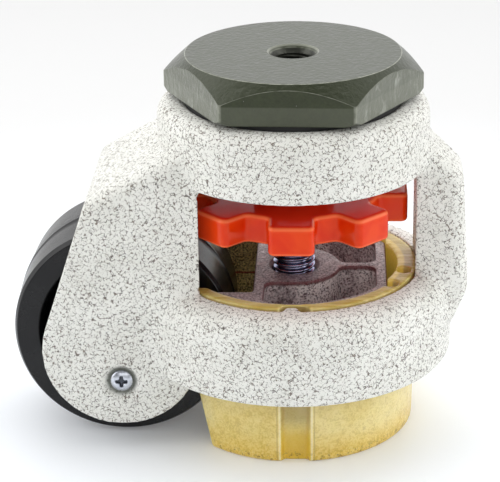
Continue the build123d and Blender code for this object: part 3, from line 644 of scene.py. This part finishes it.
def bakeModifier(piece, kind, **settings):
    modifier = piece.modifiers.new(kind.lower(), kind)
    for key, value in settings.items():
        setattr(modifier, key, value)
    graph = bpy.context.evaluated_depsgraph_get()
    baked = bpy.data.meshes.new_from_object(piece.evaluated_get(graph))
    piece.modifiers.clear()
    piece.data = baked


def mergedCopy(nodeName):
    mesh = nodes[nodeName].data.copy()
    work = bmesh.new()
    work.from_mesh(mesh)
    bmesh.ops.remove_doubles(work, verts=work.verts, dist=1e-6)
    work.to_mesh(mesh)
    work.free()
    return mesh


def readVectors(items, attribute):
    values = np.empty(len(items) * 3)
    items.foreach_get(attribute, values)
    return values.reshape(-1, 3)


def relax(points, edges, rounds, weight):
    # each point moves by the weight towards the mean of its neighbours
    first, second = edges[:, 0], edges[:, 1]
    count = len(points)
    share = np.bincount(first, minlength=count) + np.bincount(second, minlength=count)
    moved = points.copy()
    for _ in range(rounds):
        mean = np.empty_like(moved)
        for axis in range(3):
            line = moved[:, axis]
            mean[:, axis] = (np.bincount(first, line[second], minlength=count)
                             + np.bincount(second, line[first], minlength=count)) / share
        moved += (mean - moved) * weight
    return moved


def castPiece(name, nodeName, slot, body, voxel, softening, fillRounds=0, fillWhere=None):
    # a solid's skin as even quads, its edges softened, and its inner corners filled where fillWhere is one
    size = dict(fillWeight=0.9, softWeight=0.6, mostTriangles=190000)
    piece = bpy.data.objects.new(name, mergedCopy(nodeName))
    bpy.context.collection.objects.link(piece)
    bakeModifier(piece, "REMESH", mode="VOXEL", voxel_size=voxel * mm, adaptivity=0.0)
    points = readVectors(piece.data.vertices, "co") / mm
    edges = np.empty(len(piece.data.edges) * 2, dtype=np.int64)
    piece.data.edges.foreach_get("vertices", edges)
    edges = edges.reshape(-1, 2)
    if fillRounds:
        normals = readVectors(piece.data.vertices, "normal")
        flowed = relax(points, edges, fillRounds, size["fillWeight"])
        lift = np.clip(np.einsum("ij,ij->i", flowed - points, normals), 0, None)
        points = points + normals * (lift * fillWhere(points))[:, None]
    points = relax(points, edges, softening, size["softWeight"])
    piece.data.vertices.foreach_set("co", (points * mm).ravel())
    piece.data.update()
    triangles = 2 * len(piece.data.polygons)
    if triangles > size["mostTriangles"]:
        bakeModifier(piece, "DECIMATE", ratio=size["mostTriangles"] / triangles)
    finishPiece(piece, nodeName, slot, body)
    print("cast piece", name, triangles, "triangles before thinning")


def makeHousing():
    size = dict(
        boreRadius=35.6, boreFade=(-1.2, 1.0), earInner=17.5, earFade=(0.5, 3.0), wellEnd=-15.0,
        screw=(-48.2, 20.2), dish=6.2, dishFade=2.0, footFade=26.0,
    )

    def outside(points):
        # one on the outer skin, nothing in the bore, the wheel well and the screw dishes
        x, y, z = points.T
        boreIn, boreOut = size["boreFade"]
        wellIn, wellOut = size["earFade"]
        bored = softStep(np.hypot(x, y), size["boreRadius"] + boreIn, size["boreRadius"] + boreOut)
        welled = softStep(np.abs(y), size["earInner"] + wellIn, size["earInner"] + wellOut)
        welled = np.maximum(welled, x > size["wellEnd"])
        fromScrew = np.hypot(x - size["screw"][0], z - size["screw"][1])
        dished = softStep(fromScrew, size["dish"], size["dish"] + size["dishFade"])
        dished = np.where(x < -size["boreRadius"], dished, 1)
        return bored * welled * dished * softStep(z, 0, size["footFade"])

    skin = dict(voxel=0.58, softening=2, fillRounds=60, fillWhere=outside)
    castPiece("housingCasting", "housing", "speckled_powder", "housing", **skin)


def makeFootPlate():
    skin = dict(voxel=0.45, softening=3)
    castPiece("footCasting", "foot_plate", "purple_cast", "foot", **skin)


def makeFootCup():
    skin = dict(voxel=0.5, softening=1)
    castPiece("footMoulding", "foot_cup", "amber_urethane", "foot", **skin)


# turned, moulded and cut pieces

def makeHexMount():
    size = dict(
        flats=62.5, turn=-1.6, bottom=98.1, top=109.5, faceRadius=29.8, footRadius=34.8, footStep=0.5,
        slope=43.0, pin=10.0, pinEnd=82.4, pinRound=0.4, tap=5.1, mouth=7.1, mouthRound=0.15,
        mouthDepth=2.0, tapEnd=89.5, corner=0.5, edge=0.28, segments=720, steps=4, lead=0.1, pitch=1.75,
        threadDepth=0.675, crest=(4.0, 0.6), runOut=(2.2, 1.2), rise=0.2,
    )
    angle = ringAngles(size["segments"])
    # distance from the axis to the nearest side, with the six upright corners rounded by an arc
    apothem = size["flats"] / 2
    fromCorner = np.mod(angle - math.radians(size["turn"]) + np.pi / 6, np.pi / 3) - np.pi / 6
    toSide = apothem / np.cos(np.pi / 6 - np.abs(fromCorner))
    arcMiddle = (apothem - size["corner"]) / math.cos(math.pi / 6)
    inside = np.clip(size["corner"] ** 2 - (arcMiddle * np.sin(fromCorner)) ** 2, 0, None)
    arc = arcMiddle * np.cos(fromCorner) + np.sqrt(inside)
    tangent = math.atan2(size["corner"] / 2, arcMiddle + size["corner"] * math.cos(math.pi / 6))
    reach = np.where(np.abs(fromCorner) < tangent, arc, toSide)
    # the section at each angle, from the hole's mouth over the chamfer and the side to the pin's end
    top, bottom, edge = size["top"], size["bottom"], size["edge"]
    chamferEnd = top - (reach - size["faceRadius"]) * math.tan(math.radians(size["slope"]))
    sideEnd = bottom + np.maximum(reach - size["footRadius"], 0)
    section = roundCorners([
        (size["tap"], size["tapEnd"], 0), (size["tap"], top - size["mouthDepth"], 0),
        (size["mouth"], top, size["mouthRound"]), (size["faceRadius"], top, edge * 2),
        (reach, chamferEnd, edge), (reach, sideEnd, edge / 2),
        (np.minimum(reach - size["footStep"], size["footRadius"]), bottom, edge / 2),
        (size["pin"], bottom, 0), (size["pin"], size["pinEnd"], size["pinRound"]),
    ], size["steps"], size["lead"])
    body = aroundAxis(section[..., 0], angle, section[..., 1])
    # the hole's wall carries a helical groove with sloping flanks, which fades out below the mouth
    levels = np.arange(size["tapEnd"], top - size["mouthDepth"], size["rise"])[:, None]
    phase = np.mod(levels / size["pitch"] - angle / (2 * np.pi), 1)
    steepness, crest = size["crest"]
    groove = np.clip(np.abs(phase - 0.5) * steepness - crest, 0, 1)
    fadeStart, fadeLength = size["runOut"]
    fade = np.clip((top - fadeStart - levels) / fadeLength, 0, 1)
    wall = aroundAxis(size["tap"] + size["threadDepth"] * groove * fade, angle, levels)
    points, faces = cappedGrid(np.concatenate((wall, body[1:])), size["tapEnd"], size["pinEnd"])
    newPiece("hexFlange", points, faces, "hex_mount", "olive_paint", "mount")


def makeDial():
    size = dict(
        tip=32.0, root=24.5, lobes=8, width=12.6, bottom=61.4, top=69.8, hub=11.5, hubTop=76.8, bore=6.05,
        tipRound=2.0, rootRound=2.0, topEdge=1.15, bottomEdge=0.95, hubRound=1.2, hubEdge=0.4,
    )
    tip, root, tipRound, rootRound = size["tip"], size["root"], size["tipRound"], size["rootRound"]
    half, step = size["width"] / 2, math.pi / size["lobes"]

    def facing(start, end, count):
        turn = np.linspace(start, end, count)
        return np.column_stack((np.cos(turn), np.sin(turn)))

    def arc(centre, radius, normals):
        return np.hstack((centre + radius * normals, normals))

    # outline of half a lobe as place and normal, from the middle of its tip to the middle of the next root:
    # the root's fillet touches the lobe's side and, from outside, the root circle
    filletY = half + rootRound
    filletX = math.sqrt((root + rootRound) ** 2 - filletY ** 2)
    meet = math.atan2(filletY, filletX)
    halfLobe = np.vstack((
        [(tip, y, 1, 0) for y in np.linspace(0, half - tipRound, 5)[:-1]],
        arc((tip - tipRound, half - tipRound), tipRound, facing(0, math.pi / 2, 8)),
        [(x, half, 0, 1) for x in np.linspace(tip - tipRound, filletX, 7)[1:-1]],
        arc((filletX, filletY), -rootRound, facing(0, math.pi / 2 - meet, 7)[:, ::-1]),
        arc((0, 0), root, facing(meet, step, 4)[1:]),
    ))
    lobe = np.vstack((halfLobe[1:-1][::-1] * [1, -1, 1, -1], halfLobe))
    x, y, nx, ny = lobe.T
    outline = []
    for index in range(size["lobes"]):
        turn = -math.pi / 2 + 2 * step * index
        c, s = math.cos(turn), math.sin(turn)
        outline.append(np.stack((c * x - s * y, s * x + c * y, c * nx - s * ny, s * nx + c * ny), axis=-1))
    outline = np.vstack(outline)
    place, normal = outline[:, :2], outline[:, 2:]
    circle = unit(place)
    # rings from the bore's top, down the bore, out under the dial, up its side and in to the hub's top
    rings = [(circle * size["bore"], size["hubTop"]), (circle * size["bore"], size["bottom"])]
    lower, upper = place - normal * size["bottomEdge"], place - normal * size["topEdge"]
    for share in (0.5, 0.92, 1.0):
        rings.append((circle * size["bore"] * (1 - share) + lower * share, size["bottom"]))
    for bend in np.linspace(0, math.pi / 2, 6)[1:]:
        inset, rise = size["bottomEdge"] * (1 - math.sin(bend)), size["bottomEdge"] * (1 - math.cos(bend))
        rings.append((place - normal * inset, size["bottom"] + rise))
    for level in np.linspace(size["bottom"] + size["bottomEdge"], size["top"] - size["topEdge"], 5)[1:-1]:
        rings.append((place, level))
    for bend in np.linspace(0, math.pi / 2, 5):
        inset, drop = size["topEdge"] * (1 - math.cos(bend)), size["topEdge"] * (1 - math.sin(bend))
        rings.append((place - normal * inset, size["top"] - drop))
    for share in (0.05, 0.4, 0.8, 1.0):
        rings.append((upper * (1 - share) + circle * (size["hub"] + size["hubRound"]) * share, size["top"]))
    for bend in np.linspace(0, math.pi / 2, 5)[1:]:
        radius = size["hub"] + size["hubRound"] * (1 - math.sin(bend))
        rings.append((circle * radius, size["top"] + size["hubRound"] * (1 - math.cos(bend))))
    rings.append((circle * size["hub"], size["hubTop"] - size["hubEdge"]))
    rings.append((circle * (size["hub"] - size["hubEdge"]), size["hubTop"]))
    points = np.vstack([np.column_stack((flat, np.full(len(flat), level))) for flat, level in rings])
    faces = gridFaces(len(rings), len(place), closeRows=True)
    newPiece("thumbDial", points, faces, "dial", "red_plastic", "dial")


def makeAdjustingScrew():
    size = dict(
        radius=6.0, bottom=23.5, top=82.0, pitch=1.75, depth=1.0, crest=0.10, flank=0.30, endLength=1.0,
        endCut=0.9, segments=96, rise=0.16,
    )
    angle = ringAngles(size["segments"])
    levels = np.arange(size["bottom"], size["top"] + 0.01, size["rise"])[:, None]
    # thread height from the phase along the helix: flat crest, sloping flanks, rounded root
    phase = np.mod(levels / size["pitch"] - angle / (2 * np.pi), 1)
    flank = np.clip((np.abs(phase - 0.5) - size["crest"]) / size["flank"], 0, 1)
    cut = size["depth"] * (0.5 - 0.5 * np.cos(np.pi * flank))
    ends = np.clip(np.minimum(levels - size["bottom"], size["top"] - levels) / size["endLength"], 0, 1)
    radius = size["radius"] - cut - (1 - ends) * size["endCut"] * (1 - cut / size["depth"])
    points, faces = cappedGrid(aroundAxis(radius, angle, levels), levels[0, 0], levels[-1, 0])
    newPiece("threadedSpindle", points, faces, "adjusting_screw", "black_oxide", "dial")


def makeWheel():
    size = dict(
        radius=31.5, halfWidth=16.2, crown=0.5, trail=48.2, axleHeight=31.5, recess=23.5, depth=6.5,
        hub=13.0, hubDrop=0.4, tread=((0.02, 0.35, 0.1), (0.18, 0.55, 0), (0.12, 4.0, 0), (0.38, 9.0, 0)),
        shoulder=1.6, lipDrop=0.9, draft=(0.3, 1.4, 1.0), bearing=11.05, seat=7.2, bore=7.0, segments=256,
        steps=5, lead=0.12,
    )
    radius, rim, w = size["radius"], size["radius"] - size["crown"], size["halfWidth"]
    deep, hubFace = w - size["depth"], w - size["hubDrop"]
    # half of the section as (r, across, rounding), from the middle of the tread over the lip to the bore;
    # the tread's points are drops below the parting ridge in its middle, and draft is how far the recess's
    # walls lean at the rim, at its floor and at the hub
    half = [
        (radius, 0.0, 0), *((radius - drop, across, rounding) for drop, across, rounding in size["tread"]),
        (rim - 0.05, w - size["shoulder"], 0.4), (rim - size["lipDrop"], w, 0.5),
        (size["recess"] + size["draft"][0], w, 0.6), (size["recess"] - size["draft"][1], deep, 1.2),
        (size["hub"] + size["draft"][2], deep, 1.2), (size["hub"], hubFace, 0.4),
        (size["bearing"], hubFace, 0), (size["bearing"], size["seat"], 0),
        (size["bore"], size["seat"], 0), (size["bore"], 0.0, 0),
    ]
    other = [(r, -y, rounding) for r, y, rounding in half[1:-1][::-1]]
    section = roundCorners(half + other, size["steps"], size["lead"])
    ring = aroundAxis(section[:, :1], ringAngles(size["segments"]), section[:, 1:])
    # turned so that the axle lies along Y
    x, z, y = ring.reshape(-1, 3).T
    points = np.column_stack((x - size["trail"], y, z + size["axleHeight"]))
    faces = gridFaces(len(section), size["segments"], closeRows=True)
    newPiece("wheelMoulding", points, faces, "wheel", "black_nylon", "wheel")


def makeKeeperScrew(side, name, nodeName):
    size = dict(
        place=(-48.2, 25.0, 20.2), head=3.15, flatHead=2.3, middle=0.04, height=1.7, droop=0.9, dish=1.6,
        shank=1.5, length=5.8, slot=(0.279, 0.589), core=(0.5, 1.15), reach=(1.4, 1.85), deep=0.95,
        curve=3.2, rim=0.35, rimEdge=0.1, turn=0.3, segments=96,
    )
    # the head is a height over a polar grid: a low dome, less a cross that tapers inwards
    angle = ringAngles(size["segments"]) + size["turn"]
    r = np.concatenate((np.linspace(size["middle"], size["flatHead"], 26),
                        np.linspace(size["flatHead"], size["head"], 9)[1:]))[:, None]
    across = np.minimum(np.abs(r * np.cos(angle)), np.abs(r * np.sin(angle)))
    slot, core = 1 - softStep(across, *size["slot"]), 1 - softStep(r, *size["core"])
    recess = np.maximum(slot, core) * (1 - softStep(r, *size["reach"]))
    height = size["height"] - size["droop"] * (r / size["head"]) ** size["curve"] - size["deep"] * recess
    below = np.array([(size["head"], size["rim"]), (size["head"] - size["rimEdge"], 0),
                      (size["shank"], 0), (size["shank"], -size["length"])])
    grid = np.concatenate((aroundAxis(r, angle, height), aroundAxis(below[:, :1], angle, below[:, 1:])))
    points, faces = cappedGrid(grid, height[0].mean(), -size["length"])
    points = np.column_stack((
        size["place"][0] - side * points[:, 0],
        side * (size["place"][1] - size["dish"] + points[:, 2]),
        size["place"][2] + points[:, 1],
    ))
    piece = newPiece(name, points, faces, nodeName, "bright_zinc", "housing")
    depth = np.concatenate((recess.ravel(), np.zeros(len(below) * size["segments"]), [1, 0]))
    mask = piece.data.attributes.new("recess", "FLOAT", "POINT")
    mask.data.foreach_set("value", depth.astype(np.float32))


makeHousing()
makeFootPlate()
makeFootCup()
makeHexMount()
makeDial()
makeAdjustingScrew()
makeWheel()
makeKeeperScrew(-1, "crossScrewNear", "keeper_screw_near")
makeKeeperScrew(1, "crossScrewFar", "keeper_screw_far")
print("pieces made")


# floor, light and camera, in metres

def makeStage():
    look = dict(
        reach=9.0, near=(0.87, 0.90, 0.94), floor=(0.69, 0.69, 0.69), shadowLiftRange=(0.09, 0.30),
        nearGlow=(0.095, 0.095, 0.095), glow=(0.45, 0.45, 0.45), glowRange=(0.5, 2.2),
    )
    half = look["reach"]
    corners = [(-half, -half, 0), (half, -half, 0), (half, half, 0), (-half, half, 0)]
    mesh = bpy.data.meshes.new("floorSheet")
    mesh.from_pydata(corners, [], [(0, 1, 2, 3)])
    floor = bpy.data.objects.new("floorSheet", mesh)
    bpy.context.collection.objects.link(floor)
    material, tree, shader = newMaterial("palePaper")
    # painted light: near the castor the floor is lighter and bluish with a weak glow, lifting its shadow
    # and cancelling the warm bounce from the cup; farther out it glows evenly as a backdrop
    far = vectorLength(tree, objectPlace(tree))
    tone = rangeMap(tree, far, *look["shadowLiftRange"], smooth=True)
    glow = rangeMap(tree, far, *look["glowRange"], smooth=True)
    setInputs(tree, shader, Base_Color=mixColour(tree, tone, look["near"], look["floor"]), Roughness=0.55,
              Emission_Color=mixColour(tree, glow, look["nearGlow"], look["glow"]), Emission_Strength=1.0)
    floor.data.materials.append(material)


def makeLights():
    aim = Vector((-0.01, 0, 0.05))
    boxes = dict(
        topBox=dict(place=(-0.05, 0.30, 0.80), size=(1.1, 0.8), power=3.2),
        leftBox=dict(place=(-0.75, -0.10, 0.40), size=(0.7, 0.7), power=3.4),
        rightBox=dict(place=(0.75, -0.15, 0.38), size=(0.7, 0.7), power=2.9),
        frontBox=dict(place=(0.15, -0.85, 0.45), size=(1.2, 0.35), power=1.9),
    )
    for name, box in boxes.items():
        data = bpy.data.lights.new(name, "AREA")
        data.shape = "RECTANGLE"
        data.size, data.size_y = box["size"]
        data.energy = box["power"]
        light = bpy.data.objects.new(name, data)
        light.location = box["place"]
        light.rotation_mode = "QUATERNION"
        light.rotation_quaternion = (aim - Vector(box["place"])).to_track_quat("-Z", "Y")
        bpy.context.collection.objects.link(light)


def makeSky():
    # soft light from all round, brighter from behind the castor than from in front
    look = dict(brighten=(-0.3, 0.6), strength=(0.27, 1.12))
    world = bpy.data.worlds.new("studio")
    world.use_nodes = True
    tree = world.node_tree
    direction = axes(tree, addNode(tree, "TexCoord").outputs["Generated"])
    setInputs(tree, tree.nodes["Background"], Color=(1, 1, 1, 1),
              Strength=rangeMap(tree, direction["Y"], *look["brighten"], *look["strength"]))
    bpy.context.scene.world = world
    bpy.context.scene.view_settings.view_transform = "Standard"


def makeCamera():
    look = dict(
        place=(0.01308, -0.52741, 0.26932), turn=2.788, down=22.278, roll=-0.828, lens=143.7, sensor=36.0,
        clip=(0.01, 30.0),
    )
    data = bpy.data.cameras.new("productCamera")
    data.lens = look["lens"]
    data.sensor_width = look["sensor"]
    data.clip_start, data.clip_end = look["clip"]
    camera = bpy.data.objects.new("productCamera", data)
    camera.matrix_world = (
        Matrix.Translation(look["place"])
        @ Matrix.Rotation(math.radians(look["turn"]), 4, "Z")
        @ Matrix.Rotation(math.radians(90 - look["down"]), 4, "X")
        @ Matrix.Rotation(math.radians(look["roll"]), 4, "Z")
    )
    bpy.context.collection.objects.link(camera)
    bpy.context.scene.camera = camera


makeStage()
makeLights()
makeSky()
makeCamera()
print("floor, lights and camera made")
